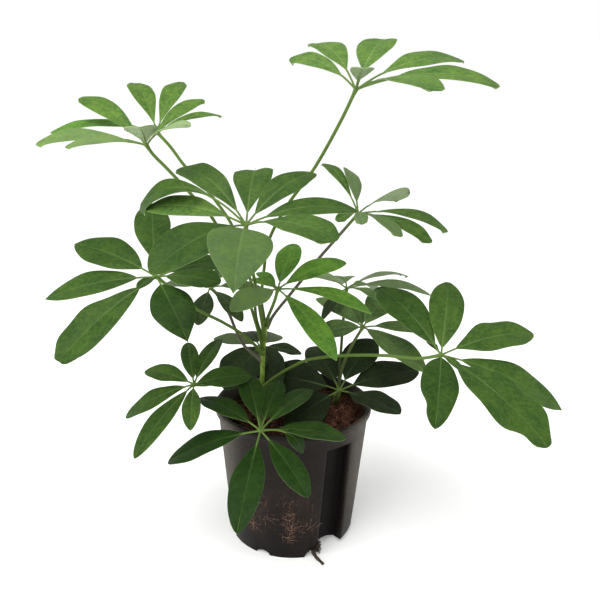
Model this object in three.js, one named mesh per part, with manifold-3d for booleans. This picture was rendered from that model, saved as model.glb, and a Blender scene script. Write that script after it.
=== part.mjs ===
// Potted dwarf umbrella plant: palmate leaves on long stalks, in a grooved nursery pot.
// Millimetres, +Z up. The origin is the middle of the pot's foot, on the surface it stands on.
import * as THREE from 'three';
import { mergeVertices } from 'three/addons/utils/BufferGeometryUtils.js';
import Module from 'manifold-3d';

// ---- Driving dimensions, in millimetres and degrees ----

// The gap left between pieces that rest on each other.
const clearance = 0.3;

const pot = {
  height: 115,
  rimRadius: 64.5,
  rimDepth: 6,
  rimBevel: 0.6,
  topRadius: 62,
  footRadius: 51.5,
  wall: 1.6,
  floorUnderside: 16,
  floorThickness: 2,
  sides: 40,
};

// The upright groove for a water gauge, pressed into the wall to the right of the front. Its plan
// is at the foot: distances out from the pot's axis, and across the groove's middle line.
const groove = {
  turn: -53,
  top: 99,
  mouth: 70,
  left: { out: 44, across: -9 },
  right: { out: 40.5, across: 12.5 },
  mouthLeft: -17.5,
  mouthRight: 16.5,
};

// Arches cut through the foot: a wide one under the groove, a low one right of it, and small ones
// for water.
const wideArch = { turns: [-58], halfWidth: 17, height: 8, facets: 24 };
const lowArch = { turns: [-25], halfWidth: 17, height: 5, facets: 24 };
const smallArch = { turns: [-161, -116, 20, 65, 110, 155], halfWidth: 6, height: 3.6, facets: 12 };

// The round holes in the floor of the pot.
const drain = { radius: 4, out: 40, turns: [-65, 25, 115, 205], facets: 16 };

// The soil mix: lower at the left, heaped in the middle, with lumps over its top.
const soil = {
  edgeHeight: 103,
  crown: 5,
  slope: 0.04,
  lumpHeight: 1.1,
  lumpLength: 6,
  rings: [0.86, 0.7, 0.54, 0.38, 0.22, 0],
};

const mainStem = {
  name: 'stem_main',
  radius: 2.4,
  tipRadius: 1.6,
  route: [[-27, 3, 74], [-27, 1, 108], [-26, 0, 134], [-25, 0, 160], [-23, -1, 184]],
};

const lowStem = {
  name: 'stem_low',
  radius: 2.3,
  tipRadius: 1.6,
  route: [[33, 11, 74], [34, 9, 100], [35, 8, 120]],
};

// The root that comes down through a drain hole, hangs out of the wide arch and lies on the surface.
const root = {
  radius: 2.6,
  tipRadius: 0.9,
  route: [[17, -36, 17.4], [17, -36, 15], [17.5, -36.5, 11], [18.5, -39, 7], [19, -43, 4.6],
    [18.5, -48, 3.6], [20, -52, 2.6], [23, -56, 1.8], [26, -60, 1.3]],
};

const tube = { sides: 6, stepLength: 20 };
const stalkRadius = 1.25;
const hubRadius = 2.4;

// A leaflet is a thin stalk, then a blade that is folded up along its rib. The stalk's share of
// the reach differs from leaf to leaf.
const leafletShape = {
  stalkShare: 0.18,
  stalkRadius: 0.8,
  edgeThickness: 0.65,
  ribThickness: 1.1,
  tipHalfWidth: 0.6,
  foldAngle: 10,
  stations: [0.16, 0.4, 0.66, 0.88, 1],
};

const foliage = {
  young: { colour: '#7fae3f', roughness: 0.45 },
  grown: { colour: '#4f8237', roughness: 0.4 },
  old: { colour: '#2f5a2e', roughness: 0.4 },
};

// Each leaf is a stalk with a wheel of leaflets at its hub. The wheel's upright axis is tilted
// by lean degrees toward the compass turn. The stalk's route starts on the stem's middle line.
// A leaflet is [turn, reach, droop], then its own width and arch if they differ: its turn about
// the wheel's axis, the straight distance from hub to tip, and how far that line hangs below the
// wheel. Width is a share of the blade's length, and arch the leaflet's rise above that line.
const leaves = [
  {
    name: 'leaf_top_right', stem: mainStem, age: 'grown',
    stalk: [[-24, 1, 174], [-25, 6, 186], [-27, 8, 199], [-25, 8, 226], [-21, 3, 250],
      [-6, -5, 280], [12, -9, 306], [31, -22, 343], [40, -30, 364]],
    lean: 17, toward: -90, width: 0.42, arch: 0.09, stalkShare: 0.24,
    leaflets: [[7, 103, -1], [32, 96, -5], [71, 81, -12], [111, 79, -8], [145, 58, -10, 0.5, 0.14],
      [-55, 84, -15], [-87, 52, -32]],
  },
  {
    name: 'leaf_top_left_front', stem: mainStem, age: 'young',
    stalk: [[-25, 0, 160], [-30, -5, 181], [-36, -8, 203], [-49, -10, 238], [-62, -10, 267],
      [-77, -11, 285], [-96, -9, 305], [-107, -8, 316], [-111, -8, 322]],
    lean: 20, toward: -100, width: 0.4, arch: 0.08,
    leaflets: [[137, 82, -12, 0.36], [171, 88, 2], [-170, 58, -4, 0.42], [59, 72, -8, 0.34],
      [-45, 66, -28, 0.38], [-80, 56, -35, 0.5]],
  },
  {
    name: 'leaf_top_left_back', stem: mainStem, age: 'young',
    stalk: [[-25, 1, 167], [-31, 5, 184], [-33, 10, 198], [-40, 16, 228], [-51, 20, 257],
      [-65, 24, 277], [-90, 26, 305], [-100, 28, 318], [-110, 28, 329]],
    lean: 14, toward: -80, width: 0.36, arch: 0.08,
    leaflets: [[180, 84, 4, 0.4], [115, 74, -16], [83, 74, -17], [47, 66, -2, 0.3]],
  },
  {
    name: 'leaf_centre', stem: mainStem, age: 'grown',
    stalk: [[-24, -1, 169], [-28, -16, 205], [-31, -40, 237], [-33, -60, 260], [-33, -72, 276]],
    lean: 18, toward: -90, width: 0.44, arch: 0.1, stalkShare: 0.2,
    leaflets: [[157, 86, 3, 0.36, 0.24], [162, 76, -1, 0.32], [131, 80, -9, 0.44, 0.14],
      [88, 74, -6, 0.5], [53, 78, -8], [19, 81, 1], [-33, 71, -8, 0.52],
      [-91, 80, -2, 0.66], [-128, 84, -2, 0.58]],
  },
  {
    name: 'leaf_left', stem: mainStem, age: 'grown',
    stalk: [[-25, 0, 156], [-38, -10, 174], [-55, -22, 190], [-73, -36, 205], [-90, -46, 224],
      [-99, -50, 233]],
    lean: 25, toward: -105, width: 0.42, arch: 0.06,
    leaflets: [[98, 77, -12], [148, 81, -4], [-174, 82, 3, 0.38], [-129, 93, 5, 0.4],
      [-66, 70, 4, 0.55], [-28, 57, -11, 0.5], [36, 62, 17, 0.5], [-104, 30, -24, 0.34]],
  },
  {
    name: 'leaf_lower_left', stem: mainStem, age: 'grown',
    stalk: [[-26, 0, 132], [-38, 2, 133], [-54, -12, 137], [-69, -28, 140], [-77, -34, 143]],
    lean: 14, toward: -110, width: 0.34, arch: 0.06,
    leaflets: [[102, 57, -3], [75, 62, 0], [19, 43, 7, 0.64], [147, 53, 5, 0.4],
      [-179, 65, 26], [-119, 76, 10], [-87, 47, 8, 0.4]],
  },
  {
    name: 'leaf_front_low', stem: mainStem, age: 'grown',
    stalk: [[-26, 0, 118], [-25, -25, 121], [-24, -50, 123], [-23, -74, 125]],
    lean: 8, toward: -90, width: 0.4, arch: 0.05,
    leaflets: [[103, 68, -7], [78, 65, -2], [58, 70, 0], [136, 71, 3], [172, 82, 27],
      [-98, 83, 17], [-60, 70, 8, 0.4], [12, 67, 12, 0.46]],
  },
  {
    name: 'leaf_right', stem: mainStem, age: 'grown',
    stalk: [[-26, 0, 126], [-17, -6, 137], [-5, -12, 148], [9, -18, 158], [20, -24, 163],
      [39, -31, 168], [69, -40, 172], [94, -47, 173], [109, -50, 177]],
    lean: 18, toward: -85, width: 0.4, arch: 0.07, stalkShare: 0.14,
    leaflets: [[79, 80, -11, 0.41], [118, 85, -3, 0.48], [24, 85, 1, 0.42], [-14, 98, 17],
      [-58, 105, 0, 0.42], [-101, 75, 2, 0.43], [105, 26, 14, 0.26], [-62, 26, 0, 0.26]],
  },
  {
    name: 'leaf_upper_right', stem: mainStem, age: 'grown',
    stalk: [[-23, 0, 178], [-17, 5, 188], [-6, 8, 202], [6, 11, 217], [19, 14, 234],
      [32, 17, 249], [49, 20, 269]],
    lean: 14, toward: -90, width: 0.3, arch: 0.1,
    leaflets: [[108, 77, -11, 0.26], [96, 69, -9, 0.26], [47, 66, 4, 0.38], [10, 80, 14],
      [-33, 65, 6], [-56, 53, -2], [-90, 40, -13, 0.36], [-118, 38, -12, 0.36]],
  },
  {
    name: 'leaf_young_centre', stem: mainStem, age: 'young',
    stalk: [[-23, -1, 181], [-21, -6, 190], [-18, -12, 199], [-15, -19, 209], [-13, -24, 218]],
    lean: 22, toward: -80, width: 0.35, arch: 0.08, stalkShare: 0.14,
    leaflets: [[79, 60, -3, 0.44], [40, 70, 1], [-3, 75, 10], [-56, 80, 5], [-130, 50, -8, 0.5],
      [144, 28, 10], [122, 33, 10]],
  },
  {
    name: 'leaf_right_behind', stem: lowStem, age: 'old',
    stalk: [[35, 8, 115], [38, 10, 127], [41, 13, 142], [48, 18, 158], [57, 22, 173]],
    lean: 16, toward: -90, width: 0.38, arch: 0.06,
    leaflets: [[130, 60, 2], [96, 46, 10, 0.5], [59, 56, 4], [12, 54, 12], [-51, 71, 2, 0.44],
      [-176, 36, 8, 0.46]],
  },
  {
    name: 'leaf_far_right', stem: lowStem, age: 'old',
    stalk: [[35, 8, 111], [38, 19, 127], [40, 33, 146], [42, 48, 170], [45, 62, 195]],
    lean: 4, toward: -90, width: 0.36, arch: 0.1,
    leaflets: [[28, 66, 3, 0.24], [6, 78, 6], [58, 70, 20], [90, 90, 17], [130, 62, 6],
      [-56, 48, -4], [-118, 49, 15]],
  },
  {
    name: 'leaf_low_right', stem: lowStem, age: 'old',
    stalk: [[35, 8, 110], [37, 3, 117], [38, 2, 124]],
    lean: 8, toward: -80, width: 0.44, arch: 0.05,
    leaflets: [[21, 74, -6, 0.54], [-40, 58, -5, 0.5], [62, 68, -17], [110, 66, -7, 0.38],
      [157, 66, 7], [-122, 62, 8]],
  },
  {
    name: 'leaf_left_behind', stem: mainStem, age: 'old',
    stalk: [[-26, 0, 150], [-42, 10, 160], [-49, 16, 171], [-55, 22, 183], [-65, 28, 197],
      [-71, 30, 203]],
    lean: 14, toward: -90, width: 0.4, arch: 0.07,
    leaflets: [[-98, 43, 15], [160, 48, 10], [-48, 45, 16], [115, 60, 6], [72, 62, 4],
      [20, 50, 14]],
  },
  {
    name: 'leaf_behind_stem', stem: mainStem, age: 'old',
    stalk: [[-26, 0, 145], [-28, 16, 145], [-30, 40, 147]],
    lean: 12, toward: -90, width: 0.5, arch: 0.06,
    leaflets: [[158, 46, 3], [-128, 44, 14, 0.75], [-68, 41, 16, 0.6], [8, 38, 11], [110, 47, 13],
      [71, 46, 16]],
  },
];

const colours = {
  pot: { colour: '#2b2527', roughness: 0.55 },
  soil: { colour: '#4a2a20', roughness: 1 },
  stem: { colour: '#5f8a36', roughness: 0.6 },
  root: { colour: '#5a3a26', roughness: 0.9 },
};

// ---- Making solids ----

const wasm = await Module();
wasm.setup();

const radians = THREE.MathUtils.degToRad;
const lerp = THREE.MathUtils.lerp;

function vectors(points) {
  return points.map((point) => new THREE.Vector3(...point));
}

function solid(geometry) {
  geometry.deleteAttribute('normal');
  geometry.deleteAttribute('uv');
  const merged = mergeVertices(geometry);
  return new wasm.Manifold(new wasm.Mesh({
    numProp: 3,
    vertProperties: new Float32Array(merged.attributes.position.array),
    triVerts: new Uint32Array(merged.index.array),
  }));
}

// A closed skin over rings of points. Each ring turns anticlockwise about the way the skin runs.
// The second half of a ring is split the other way, so that both faces of a blade fold alike.
function loft(rings) {
  const count = rings[0].length;
  const index = [];
  for (let ring = 0; ring + 1 < rings.length; ring += 1) {
    for (let side = 0; side < count; side += 1) {
      const a = ring * count + side;
      const b = ring * count + ((side + 1) % count);
      if (side < count / 2) {
        index.push(a, b, b + count, a, b + count, a + count);
      } else {
        index.push(a, b, a + count, b, b + count, a + count);
      }
    }
  }
  const last = (rings.length - 1) * count;
  for (let side = 1; side + 1 < count; side += 1) {
    index.push(0, side + 1, side);
    index.push(last, last + side, last + side + 1);
  }
  const geometry = new THREE.BufferGeometry();
  geometry.setFromPoints(rings.flat());
  geometry.setIndex(index);
  return solid(geometry);
}

function sweep(route, radius, endRadius) {
  const curve = new THREE.CatmullRomCurve3(vectors(route), false, 'centripetal');
  const steps = Math.max(3, Math.round(curve.getLength() / tube.stepLength));
  const frames = curve.computeFrenetFrames(steps);
  const rings = [];
  for (let step = 0; step <= steps; step += 1) {
    const share = step / steps;
    const centre = curve.getPointAt(share);
    const reach = lerp(radius, endRadius, share);
    const ring = [];
    for (let side = 0; side < tube.sides; side += 1) {
      const angle = (2 * Math.PI * side) / tube.sides;
      ring.push(centre.clone()
        .addScaledVector(frames.normals[step], reach * Math.cos(angle))
        .addScaledVector(frames.binormals[step], reach * Math.sin(angle)));
    }
    rings.push(ring);
  }
  return loft(rings);
}

function revolve(profile) {
  const points = profile.map(([radius, height]) => new THREE.Vector2(radius, height));
  const geometry = new THREE.LatheGeometry(points, pot.sides);
  geometry.rotateX(Math.PI / 2);
  return geometry;
}

function piece(name, body, { colour, roughness }) {
  const { vertProperties, triVerts } = body.getMesh();
  const geometry = new THREE.BufferGeometry();
  geometry.setAttribute('position', new THREE.BufferAttribute(vertProperties, 3));
  geometry.setIndex(new THREE.BufferAttribute(triVerts, 1));
  geometry.computeVertexNormals();
  const material = new THREE.MeshStandardMaterial({ color: colour, roughness, metalness: 0 });
  const mesh = new THREE.Mesh(geometry, material);
  mesh.name = name;
  return mesh;
}

// ---- Pot ----

function outerRadius(height) {
  return lerp(pot.footRadius, pot.topRadius, height / (pot.height - pot.rimDepth));
}

function innerRadius(height) {
  return outerRadius(height) - pot.wall;
}

// The groove as a leaning prism that follows the taper of the wall, grown all round by spare.
function grooveSolid(spare) {
  const outline = [
    [groove.mouth, groove.mouthLeft - spare],
    [groove.mouth, groove.mouthRight + spare],
    [groove.right.out - spare, groove.right.across + spare],
    [groove.left.out - spare, groove.left.across - spare],
  ];
  const shape = new THREE.Shape(outline.map(([out, across]) => new THREE.Vector2(out, across)));
  const below = 10;
  const geometry = new THREE.ExtrudeGeometry(shape, {
    depth: below + groove.top + spare,
    bevelEnabled: false,
  });
  geometry.translate(0, 0, -below);
  geometry.rotateY(Math.atan((pot.topRadius - pot.footRadius) / (pot.height - pot.rimDepth)));
  geometry.rotateZ(radians(groove.turn));
  return solid(geometry);
}

function archSolid({ halfWidth, height, facets }, turn) {
  const geometry = new THREE.CylinderGeometry(1, 1, pot.footRadius, facets);
  geometry.rotateZ(-Math.PI / 2);
  geometry.scale(1, halfWidth, height);
  geometry.translate(pot.footRadius, 0, 0);
  geometry.rotateZ(radians(turn));
  return solid(geometry);
}

function drainSolid(turn) {
  const depth = 4 * pot.floorThickness;
  const geometry = new THREE.CylinderGeometry(drain.radius, drain.radius, depth, drain.facets);
  geometry.rotateX(Math.PI / 2);
  geometry.translate(drain.out, 0, pot.floorUnderside);
  geometry.rotateZ(radians(turn));
  return solid(geometry);
}

function potSolid() {
  const { footRadius, topRadius, rimRadius, rimBevel, height } = pot;
  const rimFoot = height - pot.rimDepth;
  const floorTop = pot.floorUnderside + pot.floorThickness;
  const blank = solid(revolve([
    [0, 0],
    [footRadius, 0],
    [topRadius, rimFoot],
    [rimRadius - rimBevel, rimFoot + rimBevel],
    [rimRadius, height - rimBevel],
    [rimRadius - rimBevel, height],
    [0, height],
  ]));
  const inside = solid(revolve([
    [0, floorTop],
    [innerRadius(floorTop), floorTop],
    [innerRadius(height + 1), height + 1],
    [0, height + 1],
  ]));
  const underside = solid(revolve([
    [0, -1],
    [innerRadius(-1), -1],
    [innerRadius(pot.floorUnderside), pot.floorUnderside],
    [0, pot.floorUnderside],
  ]));
  const hollow = inside.add(underside).subtract(grooveSolid(pot.wall));
  let body = blank.subtract(grooveSolid(0)).subtract(hollow);
  for (const arch of [wideArch, lowArch, smallArch]) {
    for (const turn of arch.turns) {
      body = body.subtract(archSolid(arch, turn));
    }
  }
  for (const turn of drain.turns) {
    body = body.subtract(drainSolid(turn));
  }
  return body.subtract(rootSolid(clearance));
}

// ---- Soil, root and stems ----

function rootSolid(spare) {
  return sweep(root.route, root.radius + spare, root.tipRadius + spare);
}

// A stem, or the hole that it stands in, grown all round by spare.
function stemSolid(stem, spare) {
  const route = stem.route.map((point) => [...point]);
  route[0][2] -= spare;
  route[route.length - 1][2] += spare;
  return sweep(route, stem.radius + spare, stem.tipRadius + spare);
}

function soilHeight(x, y) {
  const { edgeHeight, crown, slope, lumpHeight, lumpLength } = soil;
  const share = Math.hypot(x, y) / innerRadius(edgeHeight);
  const lumps = Math.sin(x / lumpLength + 1) * Math.cos(y / lumpLength + 0.4);
  return edgeHeight + crown * (1 - share * share) + slope * x + lumpHeight * lumps;
}

function soilSolid() {
  const bottom = pot.floorUnderside + pot.floorThickness + clearance;
  const edge = innerRadius(soil.edgeHeight) - clearance;
  const profile = [
    [0, bottom],
    [innerRadius(bottom) - clearance, bottom],
    [edge, soil.edgeHeight],
  ];
  for (const share of soil.rings) {
    profile.push([edge * share, soil.edgeHeight]);
  }
  const geometry = revolve(profile);
  const place = geometry.attributes.position;
  for (let vertex = 0; vertex < place.count; vertex += 1) {
    const x = place.getX(vertex);
    const y = place.getY(vertex);
    if (place.getZ(vertex) > bottom + 1 && Math.hypot(x, y) < edge - 1) {
      place.setZ(vertex, soilHeight(x, y));
    }
  }
  return solid(geometry)
    .subtract(grooveSolid(pot.wall + clearance))
    .subtract(stemSolid(mainStem, clearance))
    .subtract(stemSolid(lowStem, clearance));
}

// ---- Leaves ----

// The outline of a blade: half its width at a share of its length, widest past the middle.
function bladeOutline(share) {
  return Math.sin(Math.PI * share ** 1.2) ** 0.75;
}

function leafletSolid(leaf, hub, tilt, leaflet) {
  const [turn, reach, droop, width = leaf.width, arch = leaf.arch] = leaflet;
  const { edgeThickness, ribThickness, tipHalfWidth } = leafletShape;
  const stalkShare = leaf.stalkShare ?? leafletShape.stalkShare;

  const out = new THREE.Vector3(
    Math.cos(radians(turn)) * Math.cos(radians(droop)),
    Math.sin(radians(turn)) * Math.cos(radians(droop)),
    -Math.sin(radians(droop)),
  ).applyQuaternion(tilt);
  const lift = new THREE.Vector3(0, 0, 1).applyQuaternion(tilt);
  lift.addScaledVector(out, -lift.dot(out)).normalize();
  const side = lift.clone().cross(out);
  const bladeLength = reach * (1 - stalkShare);

  // One ring of six: rim, rib and rim on the upper face, then back along the under face.
  function ring(share, halfWidth, rise, edgeDepth, ribDepth) {
    const along = share * reach;
    const bow = arch * reach * 4 * share * (1 - share);
    const slope = arch * 4 * (1 - 2 * share);
    const face = lift.clone().addScaledVector(out, -slope).normalize();
    const middle = hub.clone().addScaledVector(out, along).addScaledVector(lift, bow);
    const edge = edgeDepth / 2;
    const rib = ribDepth / 2;
    const corners = [
      [halfWidth, rise + edge], [0, rib], [-halfWidth, rise + edge],
      [-halfWidth, rise - edge], [0, -rib], [halfWidth, rise - edge],
    ];
    return corners.map(([across, above]) => middle.clone()
      .addScaledVector(side, across)
      .addScaledVector(face, above));
  }

  function stalkRing(share) {
    const radius = leafletShape.stalkRadius;
    return ring(share, radius, 0, radius, 2 * radius);
  }

  const fold = radians(leafletShape.foldAngle);
  const rings = [stalkRing(0), stalkRing(stalkShare)];
  for (const station of leafletShape.stations) {
    const share = stalkShare + station * (1 - stalkShare);
    const half = Math.max((width * bladeLength * bladeOutline(station)) / 2, tipHalfWidth);
    const rib = lerp(ribThickness, edgeThickness, station);
    rings.push(ring(share, half * Math.cos(fold), half * Math.sin(fold), edgeThickness, rib));
  }
  return loft(rings);
}

function leafSolid(leaf) {
  const [hub] = vectors(leaf.stalk.slice(-1));
  const toward = radians(leaf.toward);
  const hinge = new THREE.Vector3(-Math.sin(toward), Math.cos(toward), 0);
  const tilt = new THREE.Quaternion().setFromAxisAngle(hinge, radians(leaf.lean));
  const knob = new THREE.SphereGeometry(hubRadius, 6, 5);
  knob.translate(hub.x, hub.y, hub.z);
  let body = sweep(leaf.stalk, stalkRadius, stalkRadius).add(solid(knob));
  for (const leaflet of leaf.leaflets) {
    body = body.add(leafletSolid(leaf, hub, tilt, leaflet));
  }
  return body.subtract(stemSolid(leaf.stem, clearance));
}

// ---- The plant ----

const plant = new THREE.Group();
plant.add(piece('pot', potSolid(), colours.pot));
plant.add(piece('soil', soilSolid(), colours.soil));
plant.add(piece('root_strand', rootSolid(0), colours.root));
for (const stem of [mainStem, lowStem]) {
  plant.add(piece(stem.name, stemSolid(stem, 0), colours.stem));
}
for (const leaf of leaves) {
  plant.add(piece(leaf.name, leafSolid(leaf), foliage[leaf.age]));
}

export default plant;
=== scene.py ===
"""The looks of a potted dwarf umbrella plant: palmate leaves on long stalks, in a grooved nursery pot.

Sizes are in millimetres, and become the frame's metres where a mesh, a light or the camera is made.
"""

import math

import bpy
import numpy as np
from mathutils import Matrix, Vector, geometry, noise


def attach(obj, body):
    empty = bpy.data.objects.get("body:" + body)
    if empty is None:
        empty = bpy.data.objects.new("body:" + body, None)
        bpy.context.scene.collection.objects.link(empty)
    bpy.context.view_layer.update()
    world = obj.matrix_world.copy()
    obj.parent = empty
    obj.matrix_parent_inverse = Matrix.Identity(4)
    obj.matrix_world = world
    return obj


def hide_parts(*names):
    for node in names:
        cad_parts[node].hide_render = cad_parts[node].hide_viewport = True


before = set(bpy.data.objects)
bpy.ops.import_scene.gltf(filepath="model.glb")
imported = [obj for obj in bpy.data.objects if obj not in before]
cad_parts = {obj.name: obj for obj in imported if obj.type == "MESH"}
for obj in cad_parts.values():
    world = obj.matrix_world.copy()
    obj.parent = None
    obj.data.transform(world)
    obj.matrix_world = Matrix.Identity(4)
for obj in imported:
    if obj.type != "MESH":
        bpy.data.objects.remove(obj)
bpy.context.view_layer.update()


# ---- Where the plant stands ----
# A plain pale floor, lit a little from below, under soft studio light: a broad sky of white cloth above
# the front, a soft box over the plant and one at each side. The camera looks down by 17 degrees from
# 55 cm away.

METRE = 1000.0

# The camera: its place, its tilt in degrees, its lens, and how near and how far it sees, in metres.
camera_place = (4, -548, 369)
camera_pitch = 16.9
camera_roll = 1.0
camera_lens = 43.2
camera_sensor = 36.0
camera_clips = (0.01, 200)

floor_reach = 60000
floor_colour = (0.93, 0.93, 0.92, 1)
floor_glow = 0.2
floor_grain = 60
room_light = 0.42
backdrop_white = 1.0

# The cloth sky: where it is, how broad it looks in degrees, and its strength.
sky_place = (-500, -900, 1500)
sky_spread = 55
sky_strength = 2.1

# Each soft box: place, width, and power in watts.
lamps = {
    "lamp_overhead": ((-120, -150, 1000), 700, 5.0),
    "lamp_left": ((-900, -250, 250), 500, 4.0),
    "lamp_right": ((900, -100, 250), 400, 3.0),
}
lamp_target = (0, 0, 200)


def math_node(operation, reflected=False):
    """What an operator does with a wire and a value: it adds a Math node."""

    def apply(wire, value=0.0):
        first, second = (value, wire) if reflected else (wire, value)
        return wire.paint.node("ShaderNodeMath", {"operation": operation}, {0: first, 1: second})

    return apply


class Wire:
    """A shader socket that takes part in sums: an expression on it adds the Math nodes."""

    __add__ = __radd__ = math_node("ADD")
    __sub__ = math_node("SUBTRACT")
    __rsub__ = math_node("SUBTRACT", reflected=True)
    __mul__ = __rmul__ = math_node("MULTIPLY")
    __truediv__ = math_node("DIVIDE")
    __pow__ = math_node("POWER")
    __mod__ = math_node("FLOORED_MODULO")
    __abs__ = math_node("ABSOLUTE")

    def __init__(self, paint, socket):
        self.paint = paint
        self.socket = socket

    def other(self, name):
        """Another output of the same node."""
        return Wire(self.paint, self.socket.node.outputs[name])

    def ease(self, low, high):
        """0 below low, 1 above high, and a smooth rise between them."""
        settings = {"interpolation_type": "SMOOTHSTEP"}
        return self.paint.node("ShaderNodeMapRange", settings, {0: self, 1: low, 2: high})


class Paint:
    """What a material or the room is painted with. node() adds one shader node."""

    def __init__(self, owner, shader="Principled BSDF"):
        owner.use_nodes = True
        self.owner = owner
        self.tree = owner.node_tree
        self.shader = self.tree.nodes[shader]

    def node(self, kind, settings, sockets, output=0):
        """A node's type, its settings, then the values or links of its sockets."""
        made = self.tree.nodes.new(kind)
        for key, value in settings.items():
            setattr(made, key, value)
        self.fill(made, sockets)
        return Wire(self, made.outputs[output])

    def fill(self, made, sockets):
        for key, value in sockets.items():
            if isinstance(value, Wire):
                self.tree.links.new(value.socket, made.inputs[key])
            else:
                made.inputs[key].default_value = value

    def mark(self, name, kind="Fac"):
        """A number, or a Vector of three, that the mesh carries under this name."""
        return self.node("ShaderNodeAttribute", {"attribute_name": name}, {}, kind)

    def split(self, vector):
        """The three numbers of a vector."""
        first = self.node("ShaderNodeSeparateXYZ", {}, {0: vector})
        return first, first.other("Y"), first.other("Z")

    def cloud(self, place, scale, detail=3.0, roughness=0.55):
        """Noise about 0.5, in blotches of 1 / scale metres."""
        sockets = {"Vector": place, "Scale": scale, "Detail": detail, "Roughness": roughness}
        return self.node("ShaderNodeTexNoise", {}, sockets, "Fac")

    def mix(self, share, start, end):
        return self.node("ShaderNodeMix", {"data_type": "RGBA"}, {0: share, 6: start, 7: end}, 2)

    def times(self, vector, scale):
        """A place or a colour with each of its three numbers multiplied by its own."""
        return self.node("ShaderNodeVectorMath", {"operation": "MULTIPLY"}, {0: vector, 1: scale})

    def relief(self, height, strength, depth):
        """A normal that follows a height, which counts in depth's metres."""
        sockets = {"Strength": strength, "Distance": depth, "Height": height}
        return self.node("ShaderNodeBump", {}, sockets)

    def finish(self, **sockets):
        """Fills the shader's own sockets, and gives back what was painted."""
        self.fill(self.shader, {key.replace("_", " "): value for key, value in sockets.items()})
        return self.owner


def new_paint(name):
    """A new material, and the point on its surface, in metres."""
    paint = Paint(bpy.data.materials.new(name))
    return paint, paint.node("ShaderNodeTexCoord", {}, {}, "Object")


def put(name, data):
    """A new object in the scene."""
    made = bpy.data.objects.new(name, data)
    bpy.context.scene.collection.objects.link(made)
    return made


def stand_camera():
    data = bpy.data.cameras.new("camera")
    data.lens = camera_lens
    data.sensor_width = camera_sensor
    data.clip_start, data.clip_end = camera_clips
    camera = put("camera", data)
    pitch = Matrix.Rotation(math.radians(90 - camera_pitch), 4, "X")
    roll = Matrix.Rotation(math.radians(camera_roll), 4, "Z")
    camera.matrix_world = Matrix.Translation(Vector(camera_place) / METRE) @ pitch @ roll
    bpy.context.scene.camera = camera


def hang_light(name, kind, place, power):
    data = bpy.data.lights.new(name, kind)
    data.energy = power
    lamp = put(name, data)
    lamp.location = Vector(place) / METRE
    aim = Vector(lamp_target) - Vector(place)
    lamp.rotation_mode = "QUATERNION"
    lamp.rotation_quaternion = aim.to_track_quat("-Z", "Y")
    return data


def paint_room():
    paint = Paint(bpy.data.worlds.new("room"), "Background")
    seen = paint.node("ShaderNodeLightPath", {}, {}, "Is Camera Ray")
    bpy.context.scene.world = paint.finish(
        Color=(1, 1, 1, 1), Strength=room_light + (backdrop_white - room_light) * seen)


def lay_floor():
    reach = floor_reach / METRE
    mesh = bpy.data.meshes.new("floor")
    corners = [(-reach, -reach, 0), (reach, -reach, 0), (reach, reach, 0), (-reach, reach, 0)]
    mesh.from_pydata(corners, [], [(0, 1, 2, 3)])
    paint, place = new_paint("pale_floor")
    grain = paint.cloud(place, floor_grain)
    mesh.materials.append(paint.finish(
        Base_Color=floor_colour, Roughness=0.85 + 0.1 * grain, Emission_Strength=floor_glow))
    floor = put("floor", mesh)


stand_camera()
hang_light("cloth_sky", "SUN", sky_place, sky_strength).angle = math.radians(sky_spread)
for name, (place, width, watts) in lamps.items():
    hang_light(name, "AREA", place, watts).size = width / METRE
paint_room()
lay_floor()
bpy.context.scene.view_settings.view_transform = "Standard"


# ---- The pot ----
# A nursery pot of dark brown-black plastic, drawn thin from one sheet: a turned-out rim, an upright
# groove for a water gauge right of the front, and a floor raised on a foot with arches cut in it.

pot_height = 115
rim_radius = 64.5
rim_depth = 6
top_radius = 62
foot_radius = 51.5
wall = 1.6
floor_underside = 16
floor_thickness = 2
wall_lean = (top_radius - foot_radius) / (pot_height - rim_depth)

# The groove in plan at the foot: distances out from the pot's axis, and across its own line. The wall's
# columns stop that many degrees from that line.
groove_turn = -53
groove_edges = (-13.4, 16.3)
groove_top = 99
groove_fade = 2.4
groove_left = (44, -9)
groove_right = (40.5, 12.5)
groove_mouth = (70, -17.5, 16.5)
mouth_rounding = 2.2
inner_rounding = 2.0
corner_points = 5
run_points = 6

# Arches in the foot: turn, half width, height, and how many columns of the wall stand over it. A wide
# one is under the groove, a low one right of it, and small ones are round the rest. Their edges are
# ragged, and the wall's rings below arch_clear rise over them.
arches = [(-58, 17, 8, 22), (-25, 17, 5, 22)]
arches += [(turn, 6, 3.6, 10) for turn in (-161, -116, 20, 65, 110, 155)]
arch_clear = 19
ragged = 0.5
ragged_scale = 0.45

# The wall's other columns, in degrees, and the heights of its rings below the groove's top.
column_spacing = 2.5
ring_heights = (0, 1, 3, 6, 9, 12, 15, arch_clear, 26, 34, 44, 54, 64, 74, 84, 91, 95)

# Round drain holes in the raised floor, and how far that floor's edge goes into the wall.
drain_radius = 4
drain_out = 40
drain_turns = (-65, 25, 115, 205)
drain_sides = 28
floor_bite = 0.4

# The rim's skin from the wall up to its top: distances in from the rim's radius, and up from its foot.
# Its inner edge is out from the wall's inner face, and below the top. The wall's outer skin stops a little
# under the rim's foot, and its inner skin a little under the top.
rim_profile = ((2.35, -0.1), (1.7, 0.15), (0.7, 0.55), (0.2, 1.1), (0, 2.2), (0, 4.4), (0.25, 5.4),
               (0.9, 5.95), (1.8, 6))
rim_inner_edge = (0.5, 0.2)
outer_stop = 0.5
inner_stop = 1.2

pot_brown = (0.006, 0.003, 0.002, 1)
pot_bloom = (0.017, 0.010, 0.007, 1)
pot_dust_and_sheen = (0.084, 0.073, 0.060, 1)
pot_painted_shade = (0.003, 0.002, 0.002, 1)
pot_stain = (0.110, 0.045, 0.020, 1)


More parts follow.
